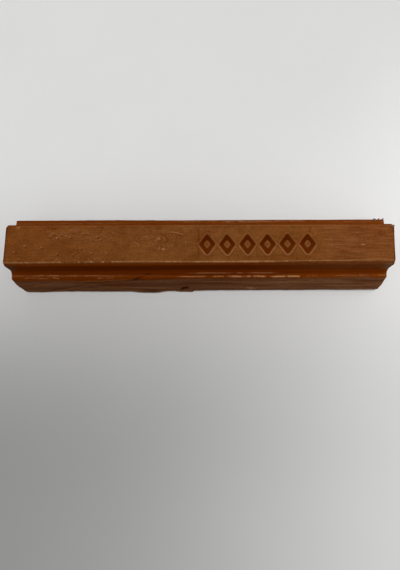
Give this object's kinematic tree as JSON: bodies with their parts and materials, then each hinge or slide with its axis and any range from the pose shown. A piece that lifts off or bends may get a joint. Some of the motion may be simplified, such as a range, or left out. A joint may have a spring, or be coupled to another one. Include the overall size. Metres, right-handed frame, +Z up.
{
  "type": "furniture repair wax stick",
  "caption": "Cast bar of brown hard filler wax with a stepped section, a flat stamped plateau and a wide flat pour face to rest on.",
  "frame": {"origin": "middle of the flat pour face that the bar lies on", "axes": "+X along the bar towards the stamped half, +Y across it towards the side with the loose crumbs, +Z up from the pour face to the plateau"},
  "size_m": [0.09, 0.0189, 0.0134],
  "materials": {
    "wax": "satin cast hard wax, slightly translucent",
    "loose_wax": "dull broken wax crumbs"
  },
  "bodies": {
    "root": {"wax_bar": "wax", "ledge_crumbs": "loose_wax", "corner_crumb": "loose_wax"}
  },
  "joints": []
}
